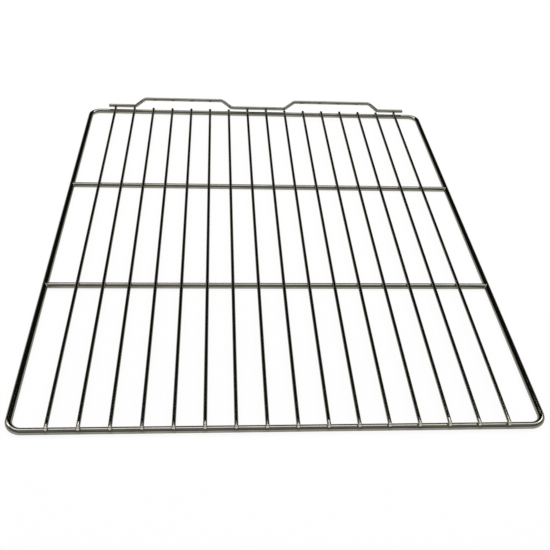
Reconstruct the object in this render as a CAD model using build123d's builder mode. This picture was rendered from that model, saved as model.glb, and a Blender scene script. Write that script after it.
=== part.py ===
# Wire shelf: a bent frame, two cross bars, a deck of straight wires and a humped rear stop wire
import os

from build123d import *

# Driving dimensions in millimetres. X runs across, Y from front to back, Z up.
# The shelf lies on its frame at Z = 0, centred on X and Y.

# Frame, measured over the outside of the wire; the corner radius is that of its axis
frame_width = 530.0
frame_depth = 650.0
frame_wire_diameter = 7.0
corner_radius = 14.0

# Cross bars, measured from the axes of the end rails; each end is sunk into the side rail
bar_diameter = 7.0
front_bar_setback = 213.2
rear_bar_setback = 216.0
bar_set_in = 0.8

# Deck wires; the side gap is from rail axis to wire axis, the overhangs are past the end rails' axes
deck_wire_count = 16
deck_wire_diameter = 4.0
deck_side_gap = 37.5
deck_front_overhang = 2.7
deck_rear_overhang = 0.7

# Rear stop wire; its overhang is past the outer deck wires, and it is welded a little to the right
stop_diameter = 5.0
stop_overhang = 11.9
stop_offset = 1.9
stop_end_flat = 42.0
stop_middle_flat = 84.8
hump_rise = 12.1
hump_leg_run = 15.3
hump_bend_radius = 8.0

# Places worked out from the dimensions above; every wire lies in touch with the one below it
rail_x = (frame_width - frame_wire_diameter) / 2
rail_y = (frame_depth - frame_wire_diameter) / 2
rail_z = frame_wire_diameter / 2
bar_y = {"front": -rail_y + front_bar_setback, "rear": rail_y - rear_bar_setback}
bar_z = frame_wire_diameter - bar_diameter / 2
bar_reach = rail_x - frame_wire_diameter / 2 + bar_set_in
deck_span = 2 * (rail_x - deck_side_gap)
deck_pitch = deck_span / (deck_wire_count - 1)
deck_z = frame_wire_diameter + deck_wire_diameter / 2
deck_front_y = -rail_y - deck_front_overhang
deck_rear_y = rail_y + deck_rear_overhang
stop_z = deck_z + (deck_wire_diameter + stop_diameter) / 2
stop_half_length = deck_span / 2 + stop_overhang
hump_outer_foot = stop_half_length - stop_end_flat
hump_inner_foot = stop_middle_flat / 2

os.makedirs("parts", exist_ok=True)


def save(builder, name):
    """Label a finished piece and write it under the same name."""
    builder.part.label = name
    export_step(builder.part, f"parts/{name}.step")


# Frame: one wire bent round four corners and closed on itself
with BuildPart() as frame_wire:
    with BuildLine(Plane.XY.offset(rail_z)) as frame_path:
        FilletPolyline(
            (-rail_x, -rail_y),
            (rail_x, -rail_y),
            (rail_x, rail_y),
            (-rail_x, rail_y),
            radius=corner_radius,
            close=True,
        )
    with BuildSketch(Plane(frame_path.line @ 0, z_dir=frame_path.line % 0)):
        Circle(frame_wire_diameter / 2)
    sweep(path=frame_path.line)
save(frame_wire, "frame_wire")

# Cross bars: each end is pressed into the side rail by the weld, so it takes the rail's round
for place, y in bar_y.items():
    with BuildPart() as cross_bar:
        with BuildSketch(Plane.YZ):
            with Locations((y, bar_z)):
                Circle(bar_diameter / 2)
        extrude(amount=bar_reach, both=True)
        add(frame_wire.part, mode=Mode.SUBTRACT)
    save(cross_bar, f"cross_bar_{place}")

# Deck wires: straight, cut square, lying across the end rails and the cross bars
for index in range(deck_wire_count):
    x = -deck_span / 2 + index * deck_pitch
    with BuildPart() as deck_wire:
        with BuildSketch(Plane.XZ.offset(-deck_rear_y)):
            with Locations((x, deck_z)):
                Circle(deck_wire_diameter / 2)
        extrude(amount=deck_rear_y - deck_front_y)
    save(deck_wire, f"deck_wire_{index + 1:02d}")

# Rear stop wire: flat on the deck wires at its ends and middle, bent up into two humps between them
with BuildPart() as rear_stop_wire:
    with BuildLine(Plane.XZ.offset(-rail_y)) as stop_path:
        FilletPolyline(
            (stop_offset - stop_half_length, stop_z),
            (stop_offset - hump_outer_foot, stop_z),
            (stop_offset - hump_outer_foot + hump_leg_run, stop_z + hump_rise),
            (stop_offset - hump_inner_foot - hump_leg_run, stop_z + hump_rise),
            (stop_offset - hump_inner_foot, stop_z),
            (stop_offset + hump_inner_foot, stop_z),
            (stop_offset + hump_inner_foot + hump_leg_run, stop_z + hump_rise),
            (stop_offset + hump_outer_foot - hump_leg_run, stop_z + hump_rise),
            (stop_offset + hump_outer_foot, stop_z),
            (stop_offset + stop_half_length, stop_z),
            radius=hump_bend_radius,
        )
    with BuildSketch(Plane(stop_path.line @ 0, z_dir=stop_path.line % 0)):
        Circle(stop_diameter / 2)
    sweep(path=stop_path.line)
save(rear_stop_wire, "rear_stop_wire")
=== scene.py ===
import math

import bmesh
import bpy
from mathutils import Matrix, Vector


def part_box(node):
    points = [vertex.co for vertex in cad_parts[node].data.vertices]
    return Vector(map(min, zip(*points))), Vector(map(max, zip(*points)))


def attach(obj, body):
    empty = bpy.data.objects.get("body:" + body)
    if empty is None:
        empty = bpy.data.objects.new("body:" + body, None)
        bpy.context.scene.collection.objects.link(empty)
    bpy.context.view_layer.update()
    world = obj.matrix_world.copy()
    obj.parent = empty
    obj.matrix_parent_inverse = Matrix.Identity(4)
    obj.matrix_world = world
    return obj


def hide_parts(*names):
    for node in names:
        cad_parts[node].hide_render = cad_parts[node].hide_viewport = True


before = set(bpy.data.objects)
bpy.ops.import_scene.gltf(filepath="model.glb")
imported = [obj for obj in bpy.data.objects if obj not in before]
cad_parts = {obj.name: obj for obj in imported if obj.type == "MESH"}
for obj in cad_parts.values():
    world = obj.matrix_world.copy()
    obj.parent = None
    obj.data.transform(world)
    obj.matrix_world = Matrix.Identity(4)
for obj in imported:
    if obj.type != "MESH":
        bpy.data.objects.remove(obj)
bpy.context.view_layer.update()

# All lengths are in metres, in the shelf's own frame: X across, Y from front to back, Z up.

# Bends and humps, which the boxes of the nodes don't tell
CORNER_RADIUS = 0.0140
HUMP_BEND_RADIUS = 0.0080
STOP_END_FLAT = 0.0420
STOP_MIDDLE_FLAT = 0.0848
HUMP_LEG_RUN = 0.0153

# Rounded edge of a cut end
END_ROUND = 0.0008

# Welds: reach along a wire, flattening under the electrode, and size and hollow of the fillets
WELD_REACH = 0.0022
WELD_FLATTEN = 0.012
WELD_THROAT = 0.00045
WELD_FLARE = 0.35
BAR_WELD_LEG = 0.0011
BAR_WELD_BOW = 0.25

# Front end of each deck wire, pressed down from that far back
NOSE_SLOPE = math.tan(math.radians(2.2))
NOSE_LENGTHS = (
    *(0.0042, 0.0078, 0.0026, 0.0024, 0.0027, 0.0070, 0.0025, 0.0022),
    *(0.0027, 0.0064, 0.0025, 0.0024, 0.0040, 0.0075, 0.0045, 0.0030),
)
NOSE_MIDDLE = 0.6
NOSE_BLEND = (0.0006, 0.0020, 0.0060)

# Mesh density
ROUND_STEPS = 28
BEND_STEPS = 12
END_STEPS = 4
WELD_RINGS = (-2.0, -1.2, -0.6, 0.0, 0.6, 1.2, 2.0)
WELD_ROWS = 5
RING_GAP = 0.0001

UP = Vector((0, 0, 1))
ALONG = Vector((0, 1, 0))
ACROSS = Vector((1, 0, 0))

BODY = "root"


def node_box(name):
    """Lowest and highest corner of a node, to a tenth of a millimetre."""
    return [Vector(round(c, 4) for c in corner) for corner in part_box(name)]


def link(name, mesh, material):
    """A finished piece of the shelf from a mesh of closed shells, with its faces turned outwards."""
    shells = bmesh.new()
    shells.from_mesh(mesh)
    bmesh.ops.recalc_face_normals(shells, faces=shells.faces)
    shells.to_mesh(mesh)
    shells.free()
    piece = bpy.data.objects.new(name, mesh)
    bpy.context.scene.collection.objects.link(piece)
    mesh.materials.append(material)
    for face in mesh.polygons:
        face.use_smooth = True
    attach(piece, BODY)
    return piece


# Sizes and places read from the frame
frame_low, frame_high = node_box("frame_wire")
frame_radius = (frame_high.z - frame_low.z) / 2
rail_x = frame_high.x - frame_radius
rail_y = frame_high.y - frame_radius
rail_z = frame_low.z + frame_radius
deck_names = sorted(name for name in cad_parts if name.startswith("deck_wire"))
deck_boxes = {name: node_box(name) for name in deck_names}
deck_x = [(low.x + high.x) / 2 for low, high in deck_boxes.values()]
deck_low, deck_high = deck_boxes[deck_names[0]]
deck_radius = (deck_high.z - deck_low.z) / 2
deck_z = (deck_high.z + deck_low.z) / 2
bar_names = ("cross_bar_front", "cross_bar_rear")
bar_boxes = {name: node_box(name) for name in bar_names}
bar_radius = (bar_boxes[bar_names[0]][1].z - bar_boxes[bar_names[0]][0].z) / 2
bar_y = [(low.y + high.y) / 2 for low, high in bar_boxes.values()]
stop_low, stop_high = node_box("rear_stop_wire")
stop_radius = (stop_high.y - stop_low.y) / 2
stop_z = stop_low.z + stop_radius


# Wires as swept tubes
def bent_path(corners, radius, closed=False):
    """Points and directions along straight runs joined by arcs of one radius."""
    corners = [Vector(c) for c in corners]
    count = len(corners)
    path = []
    if not closed:
        path.append((corners[0], (corners[1] - corners[0]).normalized()))
    for i in range(count) if closed else range(1, count - 1):
        before = (corners[i] - corners[i - 1]).normalized()
        after = (corners[(i + 1) % count] - corners[i]).normalized()
        turn = before.angle(after)
        reach = radius * math.tan(turn / 2)
        axis = before.cross(after).normalized()
        start = corners[i] - before * reach
        centre = start + axis.cross(before) * radius
        for step in range(BEND_STEPS + 1):
            spin = Matrix.Rotation(turn * step / BEND_STEPS, 3, axis)
            path.append((centre + spin @ (start - centre), spin @ before))
    if not closed:
        path.append((corners[-1], (corners[-1] - corners[-2]).normalized()))
    return path


def with_welds(path, welds, closed=False):
    """The path with rings added round each weld on its straight runs."""
    runs = list(zip(path, path[1:] + path[:1] if closed else path[1:]))
    full = []
    for (point, direction), (after, _) in runs:
        full.append((point, direction))
        length = (after - point).length
        extra = []
        for weld in welds:
            along = (weld - point).dot(direction)
            aside = (weld - point - direction * along).length
            if aside < WELD_REACH and 0 < along < length:
                extra += [along + k * WELD_REACH for k in WELD_RINGS]
        extra = [a for a in sorted(extra) if RING_GAP < a < length - RING_GAP]
        full += [(point.lerp(after, a / length), direction) for a in extra]
    if not closed:
        full.append(path[-1])
    return full


def rounded_end(ring, sense):
    """Rings that round the edge of a cut end; sense is 1 at the last ring and -1 at the first."""
    point, direction, radius, _ = ring
    rings = []
    for step in range(END_STEPS + 1):
        angle = math.pi / 2 * step / END_STEPS
        back = END_ROUND * (1 - math.sin(angle))
        inset = END_ROUND * (1 - math.cos(angle))
        # Share of the pale cut-end colour, a painted highlight on the cut face and its rounded edge
        cut_end_and_highlight = (step / END_STEPS) ** 2
        rings.append((point - direction * back * sense, direction, radius - inset, cut_end_and_highlight))
    return rings if sense > 0 else rings[::-1]


def ring_vertices(number):
    """Numbers of the vertices of a ring."""
    return [number * ROUND_STEPS + k for k in range(ROUND_STEPS)]


def set_marks(mesh, name, values):
    """A number for each vertex, for the material to read."""
    mesh.attributes.new(name, "FLOAT", "POINT").data.foreach_set("value", values)


def tube(name, path, radius, normal, material, welds, closed=False, pressed=False):
    """A round wire along a flat path, with rounded ends, and marks where it is welded or cut; the cut
    mark also paints a highlight on the ends.

    normal is square to the plane of the path. A pressed wire's top is flattened a little at each weld.
    """
    rings = [(point, direction, radius, 0.0) for point, direction in with_welds(path, welds, closed)]
    if not closed:
        ends = (rings[0][0], rings[-1][0])
        clear = END_ROUND + RING_GAP
        inner = [ring for ring in rings if min((ring[0] - end).length for end in ends) > clear]
        rings = rounded_end(rings[0], -1) + inner + rounded_end(rings[-1], 1)
    vertices, weld_marks, cut_end_and_highlight_marks, lengths = [], [], [], []
    travelled = 0.0
    last = rings[0][0]
    for point, direction, ring_radius, cut_end_and_highlight in rings:
        travelled += (point - last).length
        last = point
        lengths.append(travelled)
        side = direction.cross(normal)
        near = min((weld - point).length for weld in welds)
        mark = math.exp(-((near / WELD_REACH) ** 2))
        squeeze = WELD_FLATTEN * mark if pressed else 0.0
        for k in range(ROUND_STEPS):
            angle = 2 * math.pi * k / ROUND_STEPS - math.pi / 2
            angle = angle - 2 * math.pi if angle > math.pi else angle
            rise = math.sin(angle) * (1 - 2 * squeeze if angle > 0 else 1)
            out = side * math.cos(angle) * (1 + squeeze) + normal * rise
            vertices.append(point + out * ring_radius)
            weld_marks.append(mark)
            cut_end_and_highlight_marks.append(cut_end_and_highlight)
    count = len(rings)
    faces, places = [], []
    for i in range(count if closed else count - 1):
        j = (i + 1) % count
        ahead = lengths[j] if j else travelled + (rings[0][0] - last).length
        here, there = ring_vertices(i), ring_vertices(j)
        for k in range(ROUND_STEPS):
            m = (k + 1) % ROUND_STEPS
            faces.append((here[k], here[m], there[m], there[k]))
            low, high = k / ROUND_STEPS, (k + 1) / ROUND_STEPS
            places += [(lengths[i], low), (lengths[i], high), (ahead, high), (ahead, low)]
    if not closed:
        for ring, order in ((0, -1), (count - 1, 1)):
            face = ring_vertices(ring)[::order]
            faces.append(face)
            places += [(lengths[ring], (v % ROUND_STEPS) / ROUND_STEPS) for v in face]
    mesh = bpy.data.meshes.new(name)
    mesh.from_pydata(vertices, [], faces)
    uv = mesh.uv_layers.new(name="wire")
    uv.data.foreach_set("uv", [c for place in places for c in place])
    set_marks(mesh, "weld", weld_marks)
    # The cut mark gives the ends a rougher finish and a painted highlight
    set_marks(mesh, "cut_end_and_highlight", cut_end_and_highlight_marks)
    mesh.validate()
    return link(name, mesh, material)


# Weld metal
def close_rows(first, faces):
    """Faces between the rows of rings that start at that vertex, and across the first and last ring."""
    rings = [[first + v for v in ring_vertices(row)] for row in range(WELD_ROWS)]
    for low, high in zip(rings, rings[1:]):
        for k in range(ROUND_STEPS):
            m = (k + 1) % ROUND_STEPS
            faces.append((low[k], low[m], high[m], high[k]))
    faces += [rings[0][::-1], rings[-1]]


def weld_band(centre, upper_axis, upper_radius, lower_radius, vertices, faces):
    """A hollow fillet round the touch of two crossed wires; upper_axis is the upper wire's direction."""
    across = UP.cross(upper_axis)
    wide = math.sqrt(2 * upper_radius * WELD_THROAT)
    long = math.sqrt(2 * lower_radius * WELD_THROAT)
    first = len(vertices)
    for row in range(WELD_ROWS):
        height = row / (WELD_ROWS - 1)
        flare = 1 + WELD_FLARE * (2 * height - 1) ** 2
        for k in range(ROUND_STEPS):
            angle = 2 * math.pi * k / ROUND_STEPS
            x = wide * flare * math.cos(angle)
            y = long * flare * math.sin(angle)
            under = -(lower_radius - math.sqrt(lower_radius**2 - y * y))
            over = upper_radius - math.sqrt(upper_radius**2 - x * x)
            rise = UP * (under + (over - under) * height)
            vertices.append(centre + across * x + upper_axis * y + rise)
    close_rows(first, faces)


def rail_face(height):
    """Distance from the middle to the inner face of a side rail at that height."""
    level = max(-frame_radius, min(frame_radius, height - rail_z))
    return rail_x - math.sqrt(max(frame_radius**2 - level**2, 0.0))


def bar_weld(y, z, side, vertices, faces):
    """A fillet round the end of a cross bar where it meets the side rail; side is -1 or 1 along X."""
    first = len(vertices)
    for row in range(WELD_ROWS):
        t = row / (WELD_ROWS - 1)
        bow = BAR_WELD_BOW * math.sin(math.pi * t)
        grow = BAR_WELD_LEG * max(t - bow, 0.0)
        back = BAR_WELD_LEG * max(1 - t - bow, 0.0)
        for k in range(ROUND_STEPS):
            angle = 2 * math.pi * k / ROUND_STEPS
            dy = (bar_radius + grow) * math.cos(angle)
            dz = bar_radius * math.sin(angle)
            vertices.append(Vector((side * (rail_face(z + dz) - back), y + dy, z + dz)))
    close_rows(first, faces)


def weld_piece(name, vertices, faces, material):
    """All the weld metal of one kind as one piece."""
    mesh = bpy.data.meshes.new(name)
    mesh.from_pydata(vertices, [], faces)
    mesh.uv_layers.new(name="wire")
    set_marks(mesh, "weld", [1.0] * len(vertices))
    set_marks(mesh, "cut_end_and_highlight", [0.0] * len(vertices))
    return link(name, mesh, material)


# Materials
PLATING_DARK = (0.222, 0.214, 0.178, 1.0)
PLATING_PALE = (0.268, 0.260, 0.222, 1.0)
WELD_COLOUR = (0.195, 0.182, 0.148, 1.0)
# Pale colour of the cut end faces: a painted highlight where the ends catch the light
CUT_END_HIGHLIGHT_COLOUR = (0.60, 0.585, 0.54, 1.0)
EDGE_TINT = (0.55, 0.54, 0.50, 1.0)
COAT_WEIGHT = 0.15
COAT_ROUGHNESS = 0.06
CLOUD_SCALE = 45.0
CLOUD_DETAIL = 3.0
CLOUD_STOPS = (0.3, 0.7)
LINE_STRETCH = (9.0, 40.0, 1.0)
LINE_DETAIL = 2.0
LINE_ROUGHNESS = (0.04, 0.11)
WELD_ROUGHER = 0.15
CUT_ROUGHER = 0.35
RELIEF_STRENGTH = 0.015
RELIEF_DEPTH = 0.0001

FLOOR_COLOUR = (0.88, 0.88, 0.88, 1.0)
FLOOR_ROUGHNESS = 0.9
FLOOR_GLOW = 0.92


def nodes_of(material):
    """The node tree of a new material, with its shader."""
    material.use_nodes = True
    tree = material.node_tree
    return tree, tree.nodes, tree.nodes["Principled BSDF"]


def mark_node(nodes, name):
    """The numbers that set_marks gave a piece under that name."""
    node = nodes.new("ShaderNodeAttribute")
    node.attribute_name = name
    return node.outputs["Fac"]


def turned(tree, colour, other, share):
    """A colour that turns into another one by a share."""
    node = tree.nodes.new("ShaderNodeMix")
    node.data_type = "RGBA"
    node.inputs["B"].default_value = other
    tree.links.new(share, node.inputs["Factor"])
    tree.links.new(colour, node.inputs["A"])
    return node.outputs["Result"]


def raised(tree, value, amount, share):
    """A value with a share of an amount added."""
    node = tree.nodes.new("ShaderNodeMath")
    node.operation = "MULTIPLY_ADD"
    node.inputs[1].default_value = amount
    tree.links.new(share, node.inputs[0])
    tree.links.new(value, node.inputs[2])
    return node.outputs["Value"]


def plated_metal():
    """Bright plating over drawn wire: faint lines along it, clouds, duller welds, matt cut ends with a
    painted highlight that makes them paler.
    """
    material = bpy.data.materials.new("bright_plated_wire")
    tree, nodes, shader = nodes_of(material)
    shader.inputs["Metallic"].default_value = 1.0
    shader.inputs["Specular Tint"].default_value = EDGE_TINT
    shader.inputs["Coat Weight"].default_value = COAT_WEIGHT
    shader.inputs["Coat Roughness"].default_value = COAT_ROUGHNESS

    # The cut mark makes the ends rougher and paints a highlight on them
    weld, cut_end_and_highlight = mark_node(nodes, "weld"), mark_node(nodes, "cut_end_and_highlight")

    place = nodes.new("ShaderNodeUVMap")
    place.uv_map = "wire"
    stretch = nodes.new("ShaderNodeMapping")
    stretch.inputs["Scale"].default_value = LINE_STRETCH
    tree.links.new(place.outputs["UV"], stretch.inputs["Vector"])
    lines = nodes.new("ShaderNodeTexNoise")
    lines.inputs["Scale"].default_value = 1.0
    lines.inputs["Detail"].default_value = LINE_DETAIL
    tree.links.new(stretch.outputs["Vector"], lines.inputs["Vector"])

    where = nodes.new("ShaderNodeTexCoord")
    clouds = nodes.new("ShaderNodeTexNoise")
    clouds.inputs["Scale"].default_value = CLOUD_SCALE
    clouds.inputs["Detail"].default_value = CLOUD_DETAIL
    tree.links.new(where.outputs["Object"], clouds.inputs["Vector"])

    tint = nodes.new("ShaderNodeValToRGB")
    stops = zip(tint.color_ramp.elements, CLOUD_STOPS, (PLATING_DARK, PLATING_PALE))
    for element, position, colour in stops:
        element.position = position
        element.color = colour
    tree.links.new(clouds.outputs["Fac"], tint.inputs["Fac"])
    plating = turned(tree, tint.outputs["Color"], WELD_COLOUR, weld)
    # Painted highlight: the cut ends are turned to a pale colour
    tree.links.new(turned(tree, plating, CUT_END_HIGHLIGHT_COLOUR, cut_end_and_highlight), shader.inputs["Base Color"])

    gloss = nodes.new("ShaderNodeMapRange")
    gloss.inputs["To Min"].default_value, gloss.inputs["To Max"].default_value = LINE_ROUGHNESS
    tree.links.new(lines.outputs["Fac"], gloss.inputs["Value"])
    rough = raised(tree, gloss.outputs["Result"], WELD_ROUGHER, weld)
    tree.links.new(raised(tree, rough, CUT_ROUGHER, cut_end_and_highlight), shader.inputs["Roughness"])

    relief = nodes.new("ShaderNodeBump")
    relief.inputs["Strength"].default_value = RELIEF_STRENGTH
    relief.inputs["Distance"].default_value = RELIEF_DEPTH
    tree.links.new(lines.outputs["Fac"], relief.inputs["Height"])
    tree.links.new(relief.outputs["Normal"], shader.inputs["Normal"])
    return material


def pale_floor():
    """White to the camera and in reflections, with a share left to the lamps so that the shadow stays."""
    material = bpy.data.materials.new("pale_floor")
    tree, nodes, shader = nodes_of(material)
    shader.inputs["Base Color"].default_value = FLOOR_COLOUR
    shader.inputs["Roughness"].default_value = FLOOR_ROUGHNESS
    shader.inputs["Specular IOR Level"].default_value = 0.0
    rays = nodes.new("ShaderNodeLightPath")
    seen = rays.outputs["Is Camera Ray"]
    for kind in ("Is Glossy Ray", "Is Transmission Ray"):
        both = nodes.new("ShaderNodeMath")
        both.operation = "MAXIMUM"
        tree.links.new(seen, both.inputs[0])
        tree.links.new(rays.outputs[kind], both.inputs[1])
        seen = both.outputs["Value"]
    share = nodes.new("ShaderNodeMath")
    share.operation = "MULTIPLY"
    share.inputs[1].default_value = FLOOR_GLOW
    tree.links.new(seen, share.inputs[0])
    white = nodes.new("ShaderNodeEmission")
    white.inputs["Strength"].default_value = 1.0
    mix = nodes.new("ShaderNodeMixShader")
    tree.links.new(share.outputs["Value"], mix.inputs["Fac"])
    tree.links.new(shader.outputs["BSDF"], mix.inputs[1])
    tree.links.new(white.outputs["Emission"], mix.inputs[2])
    tree.links.new(mix.outputs["Shader"], nodes["Material Output"].inputs["Surface"])
    return material


metal = plated_metal()

# Frame and cross bars
frame_turns = ((-rail_x, -rail_y), (rail_x, -rail_y), (rail_x, rail_y), (-rail_x, rail_y))
frame_corners = [(x, y, rail_z) for x, y in frame_turns]
rail_welds = [Vector((x, y, rail_z)) for y in (-rail_y, rail_y) for x in deck_x]
bar_welds = [Vector((side * rail_x, y, rail_z)) for y in bar_y for side in (-1, 1)]
frame_piece = tube(
    "frame_wire_plated",
    bent_path(frame_corners, CORNER_RADIUS, closed=True),
    frame_radius,
    UP,
    metal,
    welds=rail_welds + bar_welds,
    closed=True,
)
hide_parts("frame_wire")

for name, (low, high) in bar_boxes.items():
    y, z = (low.y + high.y) / 2, (low.z + high.z) / 2
    path = [(Vector((low.x, y, z)), ACROSS), (Vector((high.x, y, z)), ACROSS)]
    crossings = [Vector((x, y, z)) for x in deck_x]
    piece = tube(name + "_plated", path, bar_radius, UP, metal, welds=crossings)
    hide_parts(name)

# Deck wires, their front ends pressed down a little by the weld
for number, (name, (low, high)) in enumerate(deck_boxes.items()):
    x = (low.x + high.x) / 2
    nose = NOSE_LENGTHS[number % len(NOSE_LENGTHS)]
    path = []
    for along in (0.0, nose * NOSE_MIDDLE, nose, *(nose + step for step in NOSE_BLEND)):
        drop = NOSE_SLOPE * max(nose - along, 0.0)
        path.append((Vector((x, low.y + along, deck_z - drop)), ALONG))
    path.append((Vector((x, high.y, deck_z)), ALONG))
    crossings = [Vector((x, y, deck_z)) for y in (-rail_y, *bar_y, rail_y)]
    piece = tube(name + "_plated", path, deck_radius, UP, metal, welds=crossings, pressed=True)
    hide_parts(name)

# Rear stop wire
stop_centre = (stop_low.x + stop_high.x) / 2
outer_foot = (stop_high.x - stop_low.x) / 2 - STOP_END_FLAT
inner_foot = STOP_MIDDLE_FLAT / 2
hump_z = stop_high.z - stop_radius
half_route = [
    (inner_foot, stop_z),
    (inner_foot + HUMP_LEG_RUN, hump_z),
    (outer_foot - HUMP_LEG_RUN, hump_z),
    (outer_foot, stop_z),
    (outer_foot + STOP_END_FLAT, stop_z),
]
route = [(-x, z) for x, z in reversed(half_route)] + half_route
stop_corners = [(stop_centre + x, rail_y, z) for x, z in route]
inner_flat = inner_foot - HUMP_BEND_RADIUS / 2
stop_x = [x for x in deck_x if not inner_flat <= abs(x - stop_centre) <= outer_foot]
stop_piece = tube(
    "rear_stop_wire_plated",
    bent_path(stop_corners, HUMP_BEND_RADIUS),
    stop_radius,
    ALONG,
    metal,
    welds=[Vector((x, rail_y, stop_z)) for x in stop_x],
)
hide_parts("rear_stop_wire")

# Weld metal at the crossings and at the ends of the cross bars
vertices, faces = [], []
for x in deck_x:
    for y in (-rail_y, *bar_y, rail_y):
        weld_band(Vector((x, y, deck_low.z)), ALONG, deck_radius, frame_radius, vertices, faces)
weld_piece("deck_welds", vertices, faces, metal)
vertices, faces = [], []
for x in stop_x:
    weld_band(Vector((x, rail_y, deck_high.z)), ACROSS, stop_radius, deck_radius, vertices, faces)
weld_piece("stop_welds", vertices, faces, metal)
vertices, faces = [], []
for y in bar_y:
    for side in (-1, 1):
        bar_weld(y, rail_z, side, vertices, faces)
weld_piece("bar_welds", vertices, faces, metal)

# Floor
FLOOR_SIZE = 60.0
half = FLOOR_SIZE / 2
floor_corners = [(-half, -half, 0), (half, -half, 0), (half, half, 0), (-half, half, 0)]
floor_mesh = bpy.data.meshes.new("floor")
floor_mesh.from_pydata(floor_corners, [], [(0, 1, 2, 3)])
floor_mesh.materials.append(pale_floor())
floor = bpy.data.objects.new("floor", floor_mesh)
bpy.context.scene.collection.objects.link(floor)

# Light: a wide panel overhead that brightens to the rear, a soft box on each side, a low front fill,
# and an overhead fill that doesn't show in the metal
PANEL_HEIGHT = 3.6
PANEL_X = (-2.6, 3.4)
PANEL_Y = (-0.70, -0.10, 0.90, 1.96, 2.36)
PANEL_LEVELS = (0.8, 1.8, 2.4, 5.6)
SIDE_BOX_SIZE = (1.2, 1.2)
SIDE_BOX_LEVEL = 4.5
LEFT_BOX_PLACE = (-2.6, 1.1, 2.3)
RIGHT_BOX_PLACE = (2.6, 1.1, 2.5)
FRONT_FILL_PLACE = (0.0, -2.2, 1.9)
FRONT_FILL_SIZE = (3.0, 0.6)
FRONT_FILL_LEVEL = 0.36
OVERHEAD_FILL_PLACE = (0.0, 0.0, 3.0)
OVERHEAD_FILL_SIZE = (4.0, 4.0)
OVERHEAD_FILL_LEVEL = 0.7
CENTRE = (0.0, 0.0, 0.0)


def soft_box(name, place, aim, size, radiance, in_gloss=True):
    """A rectangular lamp of that radiance, looking from its place to a point."""
    lamp = bpy.data.lights.new(name, "AREA")
    lamp.shape = "RECTANGLE"
    lamp.size, lamp.size_y = size
    lamp.energy = radiance * math.pi * size[0] * size[1]
    holder = bpy.data.objects.new(name, lamp)
    holder.location = place
    holder.rotation_euler = (Vector(place) - Vector(aim)).to_track_quat("Z", "Y").to_euler()
    holder.visible_glossy = in_gloss
    bpy.context.scene.collection.objects.link(holder)


def ceiling_panel(name, front, back, radiance):
    """A flat lamp that looks straight down, between two distances from the front."""
    middle = (sum(PANEL_X) / 2, (front + back) / 2)
    size = (PANEL_X[1] - PANEL_X[0], back - front)
    soft_box(name, (*middle, PANEL_HEIGHT), (*middle, 0.0), size, radiance)


for number, (front, back, level) in enumerate(zip(PANEL_Y, PANEL_Y[1:], PANEL_LEVELS), 1):
    ceiling_panel("overhead_panel_%d" % number, front, back, level)
soft_box("left_side_box", LEFT_BOX_PLACE, CENTRE, SIDE_BOX_SIZE, SIDE_BOX_LEVEL)
soft_box("right_side_box", RIGHT_BOX_PLACE, CENTRE, SIDE_BOX_SIZE, SIDE_BOX_LEVEL)
soft_box("front_fill", FRONT_FILL_PLACE, CENTRE, FRONT_FILL_SIZE, FRONT_FILL_LEVEL)
soft_box(
    "overhead_fill",
    OVERHEAD_FILL_PLACE,
    CENTRE,
    OVERHEAD_FILL_SIZE,
    OVERHEAD_FILL_LEVEL,
    in_gloss=False,
)

# Brightness of the room from the front (0) to the back (1), near the floor and overhead, and where it
# changes between them; then of the haze, from the horizon up
ROOM_LOW = ((0.06, 0.04), (0.13, 0.36), (0.68, 0.36), (0.77, 0.012))
ROOM_HIGH = ((0.45, 0.20), (0.62, 0.012))
ROOM_CHANGE = (0.25, 0.50)
HAZE = ((0.0, 0.95), (0.08, 0.92), (0.115, 0.40), (0.17, 0.12), (0.25, 0.0))


def ramp(tree, value, stops):
    """The colour of a grey ramp with those (position, level) stops."""
    node = tree.nodes.new("ShaderNodeValToRGB")
    elements = node.color_ramp.elements
    while len(elements) < len(stops):
        elements.new(0.5)
    for element, (position, level) in zip(elements, stops):
        element.position = position
        element.color = (level, level, level, 1.0)
    tree.links.new(value, node.inputs["Fac"])
    return node.outputs["Color"]


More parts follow.
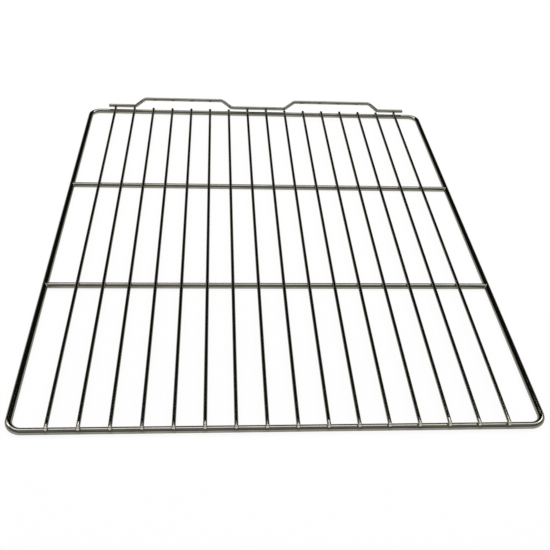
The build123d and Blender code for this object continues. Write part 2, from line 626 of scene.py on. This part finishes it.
def room():
    """Plain surroundings: dark to the back, dim to the front, pale to the sides and on the horizon."""
    world = bpy.data.worlds.new("room")
    world.use_nodes = True
    tree = world.node_tree
    nodes = tree.nodes
    where = nodes.new("ShaderNodeTexCoord")
    split = nodes.new("ShaderNodeSeparateXYZ")
    tree.links.new(where.outputs["Generated"], split.inputs["Vector"])
    depth = nodes.new("ShaderNodeMapRange")
    depth.inputs["From Min"].default_value = -1.0
    tree.links.new(split.outputs["Y"], depth.inputs["Value"])
    height = nodes.new("ShaderNodeMapRange")
    height.interpolation_type = "SMOOTHSTEP"
    height.inputs["From Min"].default_value, height.inputs["From Max"].default_value = ROOM_CHANGE
    tree.links.new(split.outputs["Z"], height.inputs["Value"])
    blend = nodes.new("ShaderNodeMix")
    blend.data_type = "RGBA"
    tree.links.new(height.outputs["Result"], blend.inputs["Factor"])
    tree.links.new(ramp(tree, depth.outputs["Result"], ROOM_LOW), blend.inputs["A"])
    tree.links.new(ramp(tree, depth.outputs["Result"], ROOM_HIGH), blend.inputs["B"])
    total = nodes.new("ShaderNodeMix")
    total.data_type = "RGBA"
    total.blend_type = "LIGHTEN"
    total.inputs["Factor"].default_value = 1.0
    tree.links.new(blend.outputs["Result"], total.inputs["A"])
    tree.links.new(ramp(tree, split.outputs["Z"], HAZE), total.inputs["B"])
    tree.links.new(total.outputs["Result"], nodes["Background"].inputs["Color"])
    return world


bpy.context.scene.world = room()

# Camera, fitted to the wires in the photograph: focal length in pixels of the frame, angles in degrees
FRAME_PIXELS = 550
FOCAL_PIXELS = 762.4
CAMERA_PLACE = (-0.0655, -0.7946, 0.5842)
CAMERA_YAW, CAMERA_PITCH, CAMERA_ROLL = 5.791, 39.276, 3.875
SENSOR_MM = 36.0

yaw, pitch = math.radians(CAMERA_YAW), math.radians(CAMERA_PITCH)
ahead = Vector((math.sin(yaw) * math.cos(pitch), math.cos(yaw) * math.cos(pitch), -math.sin(pitch)))
right = Vector((math.cos(yaw), -math.sin(yaw), 0.0))
top = right.cross(ahead)
roll = Matrix.Rotation(math.radians(CAMERA_ROLL), 3, -ahead)
axes = Matrix((roll @ right, roll @ top, -ahead)).transposed()
camera_data = bpy.data.cameras.new("camera")
camera_data.sensor_width = SENSOR_MM
camera_data.lens = FOCAL_PIXELS * SENSOR_MM / FRAME_PIXELS
camera = bpy.data.objects.new("camera", camera_data)
camera.matrix_world = Matrix.Translation(CAMERA_PLACE) @ axes.to_4x4()
bpy.context.scene.collection.objects.link(camera)
bpy.context.scene.camera = camera
bpy.context.scene.view_settings.view_transform = "Standard"
